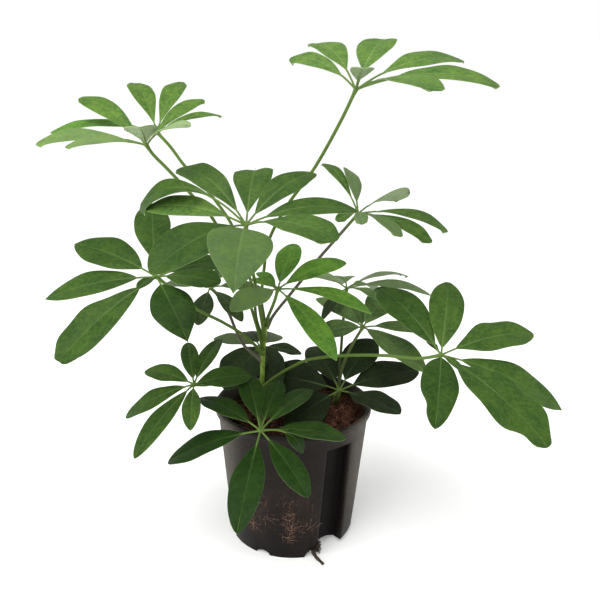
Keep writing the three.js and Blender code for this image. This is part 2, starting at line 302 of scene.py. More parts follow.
class Shape:
    """Collects closed skins of points, in millimetres, for one piece."""

    def __init__(self):
        self.points = []
        self.faces = []
        self.coats = []
        self.marks = {}

    def add(self, points, faces, coat=0, **marks):
        """Adds points and faces. Each mark has a row of one or three values for every point."""
        first = len(self.points)
        self.points.extend(np.asarray(points, float).reshape(-1, 3).tolist())
        self.faces.extend([[first + corner for corner in face] for face in faces])
        self.coats.extend([coat] * len(faces))
        for name, values in marks.items():
            self.marks.setdefault(name, []).append(values)

    def loft(self, rings, coat=0, capped=True, **marks):
        """A skin over rings of points, each turning anticlockwise about the way that the skin runs.

        Its ends are capped by one face each, or "strips" across the ring, or the skin is "joined" round.
        A mark is a number, or a tuple of three: each for all points, for each ring or for each point.
        """
        rings = np.asarray(rings, float)
        rows, count = rings.shape[:2]
        faces = []
        for row in range(rows if capped == "joined" else rows - 1):
            here = row * count
            there = (row + 1) % rows * count
            for side in range(count):
                after = (side + 1) % count
                faces.append((here + side, here + after, there + after, there + side))
        far = (rows - 1) * count
        if capped is True:
            faces.append(tuple(range(count))[::-1])
            faces.append(tuple(range(far, far + count)))
        if capped == "strips":
            for side in range(count // 2 - 1):
                strip = (side, side + 1, count - 2 - side, count - 1 - side)
                faces.append(strip[::-1])
                faces.append(tuple(far + corner for corner in strip))
        spread = {}
        for name, value in marks.items():
            parts = value if isinstance(value, tuple) else (value,)
            parts = [np.broadcast_to(part, (rows, count)).ravel() for part in parts]
            spread[name] = np.stack(parts, 1).astype(float)
        self.add(rings, faces, coat, **spread)

    def slab(self, loops, low, high):
        """A flat plate between two heights: its outline, anticlockwise, and then its holes, clockwise."""
        ground = geometry.tessellate_polygon([[Vector((x, y, 0)) for x, y in loop] for loop in loops])
        plan = [point for loop in loops for point in loop]
        count = len(plan)
        points = [(x, y, high) for x, y in plan] + [(x, y, low) for x, y in plan]
        faces = []
        for a, b, c in ground:
            (ax, ay), (bx, by), (cx, cy) = plan[a], plan[b], plan[c]
            if (bx - ax) * (cy - ay) < (by - ay) * (cx - ax):
                b, c = c, b
            faces.append((a, b, c))
            faces.append((a + count, c + count, b + count))
        first = 0
        for loop in loops:
            for side in range(len(loop)):
                a = first + side
                b = first + (side + 1) % len(loop)
                faces.append((a, a + count, b + count, b))
            first += len(loop)
        self.add(points, faces)

    def piece(self, name, coats, crease=40):
        """The finished object. Edges sharper than crease, in degrees, stay sharp."""
        mesh = bpy.data.meshes.new(name)
        mesh.from_pydata((np.asarray(self.points) / METRE).tolist(), [], self.faces)
        for coat in coats:
            mesh.materials.append(coat)
        mesh.polygons.foreach_set("material_index", self.coats)
        for mark, values in self.marks.items():
            values = np.concatenate(values)
            kind, key = ("FLOAT_VECTOR", "vector") if values.shape[1] == 3 else ("FLOAT", "value")
            mesh.attributes.new(mark, kind, "POINT").data.foreach_set(key, values.ravel())
        mesh.polygons.foreach_set("use_smooth", [True] * len(mesh.polygons))
        mesh.set_sharp_from_angle(angle=math.radians(crease))
        mesh.update()
        return put(name, mesh)


def circle(sides):
    """The points in plan of a circle of radius 1."""
    angles = np.linspace(0, 2 * math.pi, sides, endpoint=False)
    return np.stack([np.cos(angles), np.sin(angles)], 1)


def turned(out, across, turn):
    """A point in plan, or many, that lies out along a compass turn, and across it."""
    angle = np.radians(turn)
    return np.array([
        out * np.cos(angle) - across * np.sin(angle),
        out * np.sin(angle) + across * np.cos(angle),
    ]).T


def raised(plan, height):
    """A ring in plan, at one height or at one for each of its points."""
    return np.column_stack([plan, np.broadcast_to(height, len(plan))])


def circle_crossing(start, end, radius):
    """Where the line from start to end crosses a circle round the pot's axis."""
    step = end - start
    a = step @ step
    b = 2 * (start @ step)
    c = start @ start - radius * radius
    share = (-b + math.sqrt(b * b - 4 * a * c)) / (2 * a)
    return start + step * share


def rounded_corner(before, corner, after, radius):
    """A corner between two straight runs, as a short curve."""
    enter = before - corner
    leave = after - corner
    enter = corner + enter * min(0.45, radius / np.linalg.norm(enter))
    leave = corner + leave * min(0.45, radius / np.linalg.norm(leave))
    shares = np.linspace(0, 1, corner_points)[:, None]
    return (1 - shares) ** 2 * enter + 2 * shares * (1 - shares) * corner + shares ** 2 * leave


def arc_turns():
    """The compass turns of the wall's columns, from the groove's right edge round to its left."""
    turns = []
    for middle, half_width, _, columns in arches:
        for column in range(columns + 1):
            across = half_width * math.sin(math.pi * (column / columns - 0.5))
            turns.append(middle + math.degrees(math.asin(across / foot_radius)))
    for turn in np.arange(-180, 180, column_spacing):
        if all(abs((turn - other + 180) % 360 - 180) > column_spacing / 2 for other in turns):
            turns.append(turn)
    left_end, right_end = (groove_turn + edge for edge in groove_edges)
    after = sorted((turn - right_end) % 360 for turn in turns)
    return np.array([right_end + turn for turn in after if turn <= (left_end - right_end) % 360])


wall_turns = arc_turns()


def wall_plan(height, inset):
    """The wall's outline in plan at a height, drawn inset inward from its outer face."""
    grown = wall_lean * height
    radius = foot_radius + grown - inset
    left = np.array([groove_left[0] + grown - inset, groove_left[1] - inset])
    right = np.array([groove_right[0] + grown - inset, groove_right[1] + inset])
    mouth_out, mouth_left, mouth_right = groove_mouth
    left_mouth = circle_crossing(left, np.array([mouth_out + grown, mouth_left - inset]), radius)
    right_mouth = circle_crossing(right, np.array([mouth_out + grown, mouth_right + inset]), radius)
    before, after = turned(radius, 0, wall_turns[[-1, 0]] - groove_turn)
    runs = [
        rounded_corner(before, left_mouth, left, mouth_rounding),
        rounded_corner(left_mouth, left, right, inner_rounding),
        rounded_corner(left, right, right_mouth, inner_rounding),
        rounded_corner(right, right_mouth, after, mouth_rounding),
    ]
    notch = [runs[0]]
    for one, two in zip(runs, runs[1:]):
        shares = np.linspace(0, 1, run_points)[1:-1, None]
        notch += [one[-1] + (two[0] - one[-1]) * shares, two]
    notch = np.concatenate(notch)

    # The groove fades out toward its top, where the notch becomes a part of the round wall.
    ends = [math.atan2(point[1], point[0]) for point in (notch[0], notch[-1])]
    bow = np.linspace(*ends, len(notch))
    round_wall = radius * np.stack([np.cos(bow), np.sin(bow)], 1)
    depth = np.clip((groove_top + inset - height) / groove_fade, 0, 1)
    notch = round_wall + (notch - round_wall) * math.sin(depth * math.pi / 2)
    return np.concatenate([turned(radius, 0, wall_turns), turned(*notch.T, groove_turn)])


def foot_height(x, y):
    """How high an arch lifts the foot's edge at a point in plan."""
    height = 0.0
    for turn, half_width, arch_height, _ in arches:
        out, across = turned(x, y, -turn)
        if out > 0 and abs(across) < half_width:
            rise = arch_height * math.sqrt(1 - (across / half_width) ** 2)
            rise -= ragged * abs(noise.noise(Vector((x, y, turn)) * ragged_scale))
            height = max(height, rise)
    return height


def wall_rings(inset, top):
    """The rings of one face of the wall, from the foot up to a height."""
    fade = groove_top + inset
    fading = [fade - groove_fade * share for share in (1, 0.85, 0.65, 0.45, 0.25, 0.1, 0)]
    lift = np.array([foot_height(x, y) for x, y in wall_plan(0, inset)])
    rings = []
    for height in [*ring_heights, *fading, fade + 1, top]:
        rise = height + lift * max(0, 1 - height / arch_clear)
        rings.append(raised(wall_plan(height, inset), rise))
    return rings


def pot_paint():
    paint, place = new_paint("dark_plastic")
    across, depth, height = paint.split(place)
    front = (depth * -1).ease(0.005, 0.045)
    # Painted sheen: the wall is painted lighter toward its left and right sides, in flecks and scratches.
    side_sheen = abs(across).ease(0.037, 0.056)
    blotch = paint.cloud(place, 28, 5)
    streak = paint.cloud(paint.times(place, (260, 260, 16)), 1, 4)
    grain = paint.cloud(place, 1400, 2)
    fleck = paint.cloud(place, 420, 4, 0.7)
    scratch = paint.cloud(paint.times(place, (500, 500, 110)), 1, 3, 0.7)

    colour = paint.mix(blotch.ease(0.4, 0.7) * 0.6 + fleck.ease(0.5, 0.7) * 0.4, pot_brown, pot_bloom)
    dust_and_sheen = fleck.ease(0.52, 0.75) * blotch.ease(0.35, 0.7) * (1 - height.ease(0.03, 0.11) * 0.7)
    # Real dust specks and the sides' painted sheen take one pale colour.
    dust_and_sheen = dust_and_sheen * 0.45 + side_sheen * (0.42 + fleck.ease(0.35, 0.65) * 0.4 + scratch.ease(0.42, 0.66) * 0.25)
    from_axis = (across * across + depth * depth) ** 0.5
    sunken = (foot_radius / METRE + height * wall_lean - from_axis).ease(0.0018, 0.0060)
    dust_and_sheen = dust_and_sheen * (1 - sunken)
    colour = paint.mix(dust_and_sheen, colour, pot_dust_and_sheen)
    splash = height.ease(0.004, 0.02) * (1 - height.ease(0.045, 0.07)) * front
    stain = scratch.ease(0.54, 0.70) * blotch.ease(0.40, 0.58) * splash
    colour = paint.mix(stain * 0.7, colour, pot_stain)
    # Painted shade: the inside of the groove is painted almost black.
    colour = paint.mix(sunken * 0.85, colour, pot_painted_shade)
    # Painted shade: the wall is painted darker toward its foot.
    colour = paint.mix((1 - height.ease(0.01, 0.06)) * 0.65, colour, pot_painted_shade)
    relief = streak * 0.5 + grain * 0.25 + blotch * 0.6 + fleck * 1.2 + stain * 0.4
    return paint.finish(
        Base_Color=colour,
        Roughness=0.36 + 0.14 * streak + 0.22 * dust_and_sheen + 0.2 * stain + 0.4 * sunken,
        Specular_IOR_Level=0.13,
        Normal=paint.relief(relief, 0.35, 0.0006),
    )


def make_pot():
    rim_foot = pot_height - rim_depth
    outer = wall_rings(0, rim_foot - outer_stop)
    inner = wall_rings(wall, pot_height - inner_stop)
    level = wall_plan(pot_height, 0)
    level /= np.linalg.norm(level, axis=1, keepdims=True)
    rim = [raised(level * (rim_radius - inward), rim_foot + upward) for inward, upward in rim_profile]
    outward, underside_and_sheen_share = rim_inner_edge
    rim_inside = foot_radius + wall_lean * pot_height - wall + outward
    rim.append(raised(level * rim_inside, pot_height - underside_and_sheen_share))
    shape = Shape()
    shape.loft(outer + rim + inner[::-1], capped="joined")

    loops = [wall_plan(floor_underside, wall - floor_bite).tolist()]
    for turn in drain_turns:
        hole = turned(drain_out, 0, turn) + drain_radius * circle(drain_sides) * (1, -1)
        loops.append(hole.tolist())
    shape.slab(loops, floor_underside, floor_underside + floor_thickness)
    pot = shape.piece("nursery_pot", [pot_paint()], crease=50)
    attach(pot, "root")
    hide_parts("pot")


make_pot()


# ---- The soil ----
# Reddish-brown fibrous mix, pressed in by hand to a finger's width under the rim. Its top is loose:
# crumbs of peat and bark, with coconut fibres lying every way.

soil_edge = 103
soil_crown = 5
soil_slope = 0.04
lump_height = 1.5
lump_length = 6
crumble_height = 1.3
crumble_length = 3.2
crumble_octaves = (0.9, 2.1, 4)
clearance = 0.3
side_heights = (40, 70, 92, soil_edge - 3)
soil_columns = 260
soil_rings = 46

# Loose bits: how many, their gap from the rim, their radii and lengths from the least to the most, and
# how far they lie proud of the soil.
crumb_count = 800
crumb_gap = 3.5
crumb_radii = (0.5, 2.4)
fibre_count = 640
fibre_gap = 9
fibre_lengths = (4, 15)
fibre_radii = (0.14, 0.42)
proud = 0.25

# Where they don't lie: in the groove, out from the axis and across its line, and round each stem.
groove_room = (43, 17)
stem_feet = ((-27, 1), (34, 9))
stem_room = 4.5

soil_dark = (0.007, 0.003, 0.002, 1)
soil_red = (0.100, 0.034, 0.020, 1)
soil_light = (0.260, 0.115, 0.070, 1)


def soil_level(x, y):
    share = math.hypot(x, y) / (foot_radius + wall_lean * soil_edge - wall)
    lumps = math.sin(x / lump_length + 1) * math.cos(y / lump_length + 0.4)
    level = soil_edge + soil_crown * (1 - share * share) + soil_slope * x + lump_height * lumps
    crumble = crumble_height * noise.fractal(Vector((x, y, 0)) / crumble_length, *crumble_octaves)
    return level + crumble * min(1, 8 * (1.03 - share))


def evenly(outline, count):
    """Points at even steps along a closed outline."""
    closed = np.concatenate([outline, outline[:1]])
    steps = np.linalg.norm(np.diff(closed, axis=0), axis=1)
    run = np.concatenate([[0], np.cumsum(steps)])
    wanted = np.linspace(0, run[-1], count, endpoint=False)
    return np.stack([np.interp(wanted, run, closed[:, axis]) for axis in (0, 1)], 1)


def soil_paint(name, dark, red, light):
    paint, place = new_paint(name)
    crumb = paint.cloud(place, 330, 6, 0.75)
    patch = paint.cloud(place, 75, 4)
    strand = paint.cloud(paint.times(place, (900, 260, 500)), 1, 4, 0.7)
    colour = paint.mix(crumb.ease(0.36, 0.66), dark, red)
    colour = paint.mix(strand.ease(0.58, 0.76) * patch.ease(0.35, 0.65) * 0.6, colour, light)
    return paint.finish(
        Base_Color=colour,
        Roughness=0.86 + 0.12 * patch,
        Specular_IOR_Level=0.2,
        Normal=paint.relief(crumb + strand * 0.6, 0.9, 0.0012),
    )


def make_soil():
    bottom = floor_underside + floor_thickness + clearance
    rings = []
    for height in (bottom, *side_heights):
        outline = evenly(wall_plan(height, wall + clearance), soil_columns)
        rings.append(raised(outline, height))
    for ring in range(soil_rings):
        plan = outline * (1 - (ring / soil_rings) ** 1.05)
        rings.append(raised(plan, [soil_level(x, y) for x, y in plan]))
    shape = Shape()
    shape.loft(rings)
    soil = shape.piece("soil_mix", [soil_paint("peat_mix", soil_dark, soil_red, soil_light)])
    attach(soil, "root")
    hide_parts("soil")


def spot_on_soil(draw, rim_gap):
    """A random place on the soil's top, clear of the wall, the groove and the stems."""
    reach = foot_radius + wall_lean * soil_edge - wall - rim_gap
    while True:
        x, y = draw.uniform(-reach, reach, 2)
        out, across = turned(x, y, -groove_turn)
        in_groove = out > groove_room[0] + wall_lean * soil_edge and abs(across) < groove_room[1]
        by_stem = any(math.hypot(x - sx, y - sy) < stem_room for sx, sy in stem_feet)
        if math.hypot(x, y) < reach and not in_groove and not by_stem:
            return x, y


def unit_ball(rows=4, sides=7):
    """The rings of a rough ball of radius 1."""
    rings = []
    for angle in math.pi * np.linspace(0.12, 0.88, rows):
        rings.append(raised(math.sin(angle) * circle(sides), -math.cos(angle)))
    return np.array(rings)


def mostly_small(draw, least, most, power):
    """A random size, which is nearer the least the higher the power is."""
    return least + (most - least) * draw.random() ** power


def scatter_crumbs():
    draw = np.random.default_rng(11)
    shape = Shape()
    for _ in range(crumb_count):
        x, y = spot_on_soil(draw, crumb_gap)
        size = mostly_small(draw, *crumb_radii, 3)
        ball = unit_ball() * draw.uniform(0.6, 1.3, 3)
        ball = ball * (1 + 0.22 * draw.standard_normal(ball.shape[:2] + (1,)))
        turn = Matrix.Rotation(draw.uniform(0, 6.28), 3, Vector(draw.standard_normal(3)))
        ball = ball @ np.array(turn)
        shape.loft(ball * size + (x, y, soil_level(x, y) + proud * size))
    crumbs = shape.piece("soil_crumbs", [soil_paint("bark_crumbs", soil_dark, soil_red, soil_light)])
    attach(crumbs, "root")


def tube_rings(route, radii, sides):
    """Rings of a tube along a route, each square to it, with no twist between them."""
    run = np.gradient(route, axis=0)
    run /= np.linalg.norm(run, axis=1, keepdims=True)
    across = np.cross(run[0], (0.31, 0.52, 0.79))
    rings = []
    for place, ahead, radius in zip(route, run, radii):
        across = across - ahead * (across @ ahead)
        across /= np.linalg.norm(across)
        rings.append(place + radius * circle(sides) @ (across, np.cross(ahead, across)))
    return np.array(rings)


def scatter_fibres():
    draw = np.random.default_rng(23)
    shares = np.linspace(-0.5, 0.5, 7)
    shape = Shape()
    for _ in range(fibre_count):
        x, y = spot_on_soil(draw, fibre_gap)
        along = draw.uniform(*fibre_lengths) * shares
        angles = draw.uniform(0, 2 * math.pi) + draw.normal(0, 1.2) * shares
        bow = draw.uniform(0.1, 1.3) * (1 - 4 * shares ** 2)
        plan = np.stack([x + along * np.cos(angles), y + along * np.sin(angles)], 1)
        route = raised(plan, proud + bow + [soil_level(*point) for point in plan])
        radii = draw.uniform(*fibre_radii) * (1 - 0.6 * abs(2 * shares) ** 3)
        shape.loft(tube_rings(route, radii, 4))
    coat = soil_paint("coconut_fibre", soil_red, soil_light, soil_light)
    fibres = shape.piece("soil_fibres", [coat])
    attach(fibres, "root")


make_soil()
scatter_crumbs()
scatter_fibres()


# ---- The roots that left the pot ----
# One brown root grew down through a drain hole, out of the wide arch and onto the floor. Hair-thin
# rootlets dried onto the outside of the wall above it.

root_route = [(17, -36, 17.4), (17, -36, 15), (17.5, -36.5, 11), (18.5, -39, 7), (19, -43, 4.6),
              (18.5, -48, 3.6), (20, -52, 2.6), (23, -56, 1.8), (26, -60, 1.3)]
root_radius = 2.9
root_tip_radius = 1.1

# The side roots that curl about it in a tangle beside the arch: how many and how thick they are, how
# far they stay off the floor, and where the tangle is and how it spreads.
side_roots = 130
side_root_radius = 0.75
root_clear = 1.5
root_tangle = (21, -45.5, 7)
tangle_spread = (1.5, 1.1, 2.6)

# Tufts of rootlets on the wall: compass turn, height, spread across and up, and how many. Rootlets stay
# above a height and lie a little proud of the wall. They slant and wiggle by degrees.
rootlet_tufts = [(-90, 32, 8, 12, 70), (-91, 20, 7, 6, 26), (-92, 45, 4, 12, 18), (-125, 27, 6, 8, 44),
                 (-104, 35, 10, 3, 12), (-77, 29, 8, 5, 12), (-112, 42, 12, 16, 8)]
rootlet_clear = 5.5
rootlet_proud = 0.1
rootlet_slant = 4
rootlet_drop = 5
rootlet_wiggle = 0.4
rootlet_radii = (0.03, 0.1)

root_dark = (0.006, 0.003, 0.002, 1)
root_brown = (0.055, 0.026, 0.014, 1)
rootlet_dark = (0.090, 0.030, 0.018, 1)
rootlet_pale = (0.470, 0.270, 0.190, 1)


def smooth_route(points, spacing):
    """Even steps along a curve through the points. Its bends are eased by the distance between them."""
    points = [np.asarray(point, float) for point in points]
    points = [2 * points[0] - points[1], *points, 2 * points[-1] - points[-2]]
    dense = []
    for before, start, end, after in zip(points, points[1:], points[2:], points[3:]):
        pairs = ((before, start), (start, end), (end, after))
        first, gap, last = (np.linalg.norm(b - a) ** 0.5 for a, b in pairs)
        enter = (end - start) + gap * ((start - before) / first - (end - before) / (first + gap))
        leave = (end - start) + gap * ((after - end) / last - (after - start) / (gap + last))
        for share in np.linspace(0, 1, 16, endpoint=False):
            square, cube = share ** 2, share ** 3
            dense.append((2 * cube - 3 * square + 1) * start + (cube - 2 * square + share) * enter
                         + (3 * square - 2 * cube) * end + (cube - square) * leave)
    dense = np.array(dense + [points[-2]])
    run = np.concatenate([[0], np.cumsum(np.linalg.norm(np.diff(dense, axis=0), axis=1))])
    wanted = np.linspace(0, run[-1], max(4, int(run[-1] / spacing)))
    return np.stack([np.interp(wanted, run, dense[:, axis]) for axis in range(3)], 1)


def root_paint(name, dark, brown):
    paint, place = new_paint(name)
    bark = paint.cloud(place, 700, 5, 0.7)
    colour = paint.mix(bark.ease(0.35, 0.65), dark, brown)
    return paint.finish(Base_Color=colour, Roughness=0.8, Normal=paint.relief(bark, 0.8, 0.0005))


def make_root():
    draw = np.random.default_rng(5)
    shape = Shape()
    route = smooth_route(root_route, 0.8)
    shares = np.linspace(0, 1, len(route))
    knots = np.array([noise.noise(Vector((share * 11, 0.5, 0.2))) for share in shares])
    radii = root_radius + (root_tip_radius - root_radius) * shares ** 0.8
    shape.loft(tube_rings(route, radii * (1 + 0.28 * knots), 14))
    for _ in range(side_roots):
        start = route[draw.integers(4, len(route) - 22)]
        middle = root_tangle + draw.normal(0, 1, 3) * tangle_spread
        end = root_tangle + draw.normal(0, 1.3, 3) * tangle_spread
        for point in (middle, end):
            point[2] = max(point[2], root_clear)
        thin = draw.uniform(0.45, 1) * side_root_radius
        twig = smooth_route([start, middle, end], 0.7)
        shape.loft(tube_rings(twig, np.linspace(thin, thin * 0.35, len(twig)), 6))
    root = shape.piece("root_below", [root_paint("root_bark", root_dark, root_brown)], crease=70)
    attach(root, "root")
    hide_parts("root_strand")


def make_rootlets():
    draw = np.random.default_rng(8)
    shares = np.linspace(-0.5, 0.5, 4)
    shape = Shape()
    for turn, height, across, up, count in rootlet_tufts:
        for _ in range(count):
            middle_turn = turn + draw.normal(0, across / 2)
            middle_height = height + draw.normal(0, up / 2)
            slant = draw.normal(0, rootlet_slant)
            drop = draw.normal(0, rootlet_drop)
            turns = middle_turn + slant * shares + draw.normal(0, rootlet_wiggle, len(shares))
            levels = np.maximum(middle_height - drop * shares, rootlet_clear)
            plan = turned(foot_radius + wall_lean * levels + rootlet_proud, 0, turns)
            route = smooth_route(raised(plan, levels), 0.9)
            thin = mostly_small(draw, *rootlet_radii, 2)
            shape.loft(tube_rings(route, np.linspace(thin, thin * 0.5, len(route)), 4))
    rootlets = shape.piece("dried_rootlets", [root_paint("dried_root", rootlet_dark, rootlet_pale)])
    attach(rootlets, "root")


make_root()
make_rootlets()


# ---- The stems ----
# Two young stems, green over a brown foot, stand in the soil. A shallow ring marks each place where
# a leaf's stalk leaves the stem.

# Each stem's radius at its foot and at its tip, and its route. A swelling is how high and how long it is.
stems = {
    "stem_main": (2.4, 1.6, [(-27, 3, 74), (-27, 1, 108), (-26, 0, 134), (-25, 0, 160), (-23, -1, 184)]),
    "stem_low": (2.3, 1.6, [(33, 11, 74), (34, 9, 100), (35, 8, 120)]),
}
joint_heights = (111, 118, 126, 132, 145, 151, 156, 161, 168, 174, 179, 182)
joint_swelling = (0.28, 0.8)

stem_green = (0.220, 0.340, 0.045, 1)
stem_dark = (0.110, 0.190, 0.022, 1)
stem_brown = (0.085, 0.060, 0.026, 1)


def stem_paint():
    paint, place = new_paint("green_stem")
    _, _, height = paint.split(place)
    fleck = paint.cloud(place, 900, 4, 0.7)
    blotch = paint.cloud(place, 140, 3)
    colour = paint.mix(blotch.ease(0.35, 0.65), stem_dark, stem_green)
    woody = 1 - (height + 0.012 * blotch).ease(0.112, 0.136)
    colour = paint.mix(woody * 0.8, colour, stem_brown)
    colour = paint.mix(fleck.ease(0.62, 0.7) * 0.5, colour, stem_brown)
    streak = paint.cloud(paint.times(place, (1200, 1200, 90)), 1, 3)
    return paint.finish(
        Base_Color=colour,
        Roughness=0.5 + 0.2 * woody,
        Specular_IOR_Level=0.12,
        Normal=paint.relief(streak + fleck * 0.5, 0.4, 0.0004),
    )


green_stem = stem_paint()


def swelling(distance, height, length):
    """How far a stem or a stalk bulges at a distance from a joint."""
    return height * np.exp(-((distance / length) ** 2))


def make_stem(name, radius, tip_radius, route):
    line = smooth_route(route, 0.8)
    shares = np.linspace(0, 1, len(line))
    radii = radius + (tip_radius - radius) * shares
    for height in joint_heights:
        radii = radii + swelling(line[:, 2] - height, *joint_swelling)
    radii[-1] *= 0.35
    radii[-2] *= 0.8
    shape = Shape()
    shape.loft(tube_rings(line, radii, 16))
    stem = shape.piece(name + "_shown", [green_stem])
    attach(stem, "root")
    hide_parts(name)


for name, (radius, tip_radius, route) in stems.items():
    make_stem(name, radius, tip_radius, route)


# ---- The grown leaves ----
# Seven full-grown leaves of the tall stem. Each has a round green stalk, a small hub, and a wheel of
# leathery leaflets on thin stalks of their own, folded up a little along a pale rib.

# A leaf's stalk runs from the stem to the hub, and its wheel of leaflets leans by lean degrees. Its tone
# and shade runs from 0, dark, to 1, light: partly the leaf's own age, and partly painted shade on low leaves
# and painted light on leaflets that others shade. Arch is how far a leaflet bows up. A leaflet is turn,
# reach, droop, width as a share of its blade's length, and then what sets it apart from its leaf.
grown_leaves = {
    "leaf_top_right": dict(
        stalk=[(-24, 1, 174), (-25, 6, 186), (-27, 8, 199), (-25, 8, 226), (-21, 3, 250), (-6, -5, 280),
               (12, -9, 306), (31, -22, 343), (40, -30, 364)],
        tone=0.97, lean=17, arch=0.09, neck=0.22, wave=0.4,
        leaflets=[(7, 103, -1, 0.34, dict(cut=0.93, late=1.3)),
                  (32, 96, -5, 0.38, dict(cut=0.94, late=1.35, roll=8)),
                  (71, 81, -12, 0.44, dict(cut=0.92, notch=0.03)),
                  (111, 79, -9, 0.4, dict(cut=0.9, arch=0.11, late=1.25)),
                  (145, 58, -12, 0.34, dict(arch=0.12, cut=0.84, roll=-14)),
                  (-55, 84, -15, 0.38, dict(cut=0.92, late=1.2, roll=4)),
                  (-87, 52, -32, 0.38, dict(pale_and_sheen=1))]),
    "leaf_centre": dict(
        stalk=[(-24, -1, 169), (-28, -16, 205), (-31, -40, 237), (-33, -60, 260), (-33, -72, 276)],
        tone=0.5, lean=18, arch=0.1, neck=0.12, wave=0.4,
        leaflets=[(157, 86, 3, 0.34, dict(arch=0.24, late=1.8, cut=0.9, twist=-34, neck=0.24)),
                  (162, 76, 1, 0.32, dict(roll=-18, tone=1, neck=0.18)),
                  (131, 82, -9, 0.32, dict(arch=0.14, late=1.2, cut=0.93, wave=1)),
                  (88, 74, -7, 0.44, dict(cut=0.85, notch=0.07, twist=-16, late=1.3)), (53, 78, -8, 0.35),
                  (19, 81, 1, 0.36, dict(neck=0.16)),
                  (-33, 72, -10, 0.5, dict(cut=0.88, late=1.3, tone=0.6, neck=0.18)),
                  (-91, 82, -1, 0.6, dict(late=0.7, point=0.35, tone=0.56, wave=0.2, pale_and_sheen=0.15, neck=0.16)),
                  (-128, 84, -2, 0.52, dict(tone=0.34))]),
    "leaf_left": dict(
        stalk=[(-25, 0, 156), (-38, -10, 174), (-55, -22, 190), (-73, -36, 205), (-90, -46, 224),
               (-99, -50, 233)],
        tone=0.38, lean=25, toward=-105, arch=0.06, wave=0.4,
        leaflets=[(98, 77, -12, 0.42), (148, 81, -4, 0.45, dict(late=1, point=0.2)),
                  (-174, 82, 3, 0.44, dict(late=1.05, point=0.25, roll=-6)),
                  (-129, 93, 5, 0.4, dict(wave=0.8, cut=0.93, notch=0.025)),
                  (-66, 70, 4, 0.5, dict(tone=0.26, late=1, point=0.4)), (-28, 57, -11, 0.48, dict(cut=0.9)),
                  (36, 62, 17, 0.5), (-104, 30, -24, 0.34)]),
    "leaf_lower_left": dict(
        stalk=[(-26, 0, 132), (-38, 2, 133), (-54, -12, 137), (-69, -28, 140), (-77, -34, 143)],
        tone=0.46, lean=14, toward=-110, arch=0.06, wave=0.6, neck=0.1,
        leaflets=[(102, 58, -3, 0.28, dict(late=1)), (77, 66, 0, 0.27, dict(late=1)),
                  (19, 46, 7, 0.54, dict(tone=0.3, neck=0.04)), (147, 53, 4, 0.4, dict(tone=0.58)),
                  (-179, 65, 25, 0.36), (-119, 76, 10, 0.26, dict(tone=0.4)),
                  (-87, 47, 8, 0.34, dict(tone=0.62))]),
    "leaf_front_low": dict(
        stalk=[(-26, 0, 118), (-25, -25, 121), (-24, -50, 123), (-23, -74, 125)],
        tone=0.08, lean=8, arch=0.05, wave=0.5,
        leaflets=[(103, 68, -7, 0.34, dict(tone=0.16)), (79, 65, -4, 0.31, dict(tone=0.16)),
                  (58, 70, 0, 0.34, dict(tone=0.2)), (136, 71, 3, 0.36, dict(tone=0.14)),
                  (172, 82, 27, 0.38), (-98, 83, 17, 0.34, dict(late=1.1)),
                  (-60, 70, 8, 0.32, dict(late=1.25, curl=0)), (12, 67, 12, 0.48, dict(late=1.3, tone=0.2)),
                  (0, 37, 32, 0.6, dict(arch=0.24, neck=0.42, roll=40, late=0.9))]),
    "leaf_right": dict(
        stalk=[(-26, 0, 126), (-17, -6, 137), (-5, -12, 148), (9, -18, 158), (20, -24, 163), (39, -31, 168),
               (69, -40, 172), (94, -47, 173), (109, -50, 177)],
        tone=0.48, lean=18, toward=-85, arch=0.07, neck=0.14, wave=0.6,
        leaflets=[(79, 80, -11, 0.37, dict(late=1.05, cut=0.97, neck=0.07)),
                  (118, 86, -5, 0.39, dict(cut=0.92, tone=0.4, neck=0.09)),
                  (24, 85, 1, 0.42, dict(wave=1.3, tone=0.52)), (-14, 98, 17, 0.43, dict(point=0.3)),
                  (-58, 105, 0, 0.42, dict(wave=1.2, cut=0.95, dent=(0.86, -1, 0.3, 0.07))),
                  (-101, 75, 2, 0.38, dict(late=0.95, tone=0.28, neck=0.05, dent=(0.76, -1, 0.26, 0.09))),
                  (105, 26, 14, 0.26), (-66, 28, -12, 0.26)]),
    "leaf_upper_right": dict(
        stalk=[(-23, 0, 178), (-17, 5, 188), (-6, 8, 202), (6, 11, 217), (19, 14, 234), (32, 17, 249),
               (49, 20, 269)],
        tone=0.66, lean=14, arch=0.1, wave=0.4, late=1.5, cut=0.89, dull=1.7,
        leaflets=[(110, 79, -11, 0.19, dict(roll=6, cut=0.93)),
                  (94, 69, -10, 0.3, dict(roll=38, pale_and_sheen=0.4, late=1.1)), (47, 66, 4, 0.38, dict(roll=-52)),
                  (10, 80, 14, 0.26, dict(roll=12)), (-33, 65, 6, 0.26, dict(roll=8)),
                  (-56, 53, -2, 0.26, dict(pale_and_sheen=0.3)), (-90, 40, -13, 0.32, dict(pale_and_sheen=0.4)),
                  (-118, 38, -12, 0.34)]),
}

# What a leaf has unless it says otherwise: the compass turn that its wheel of leaflets leans toward, and
# how purple-brown its stalk is. Then what a leaflet has unless its leaf or it says otherwise: the share
# of its length that is its own stalk, how late it is widest, how sharp its tip is, how wavy its edges
# are, how much of its outline there is before a blunt tip, the notch in that tip, how far the tip curls
# down, its roll and its twist in degrees, how far its top takes the pale underside's colour, partly as
# painted sheen, and a dent in an edge, which is its place, side, depth and spread.
usual_leaf = dict(
    toward=-90, dull=0, neck=0.16, late=1.15, point=0, wave=0.7, cut=1, notch=0, curl=1, roll=0, twist=0,
    pale_and_sheen=0, dent=(0, 0, 0, 1))

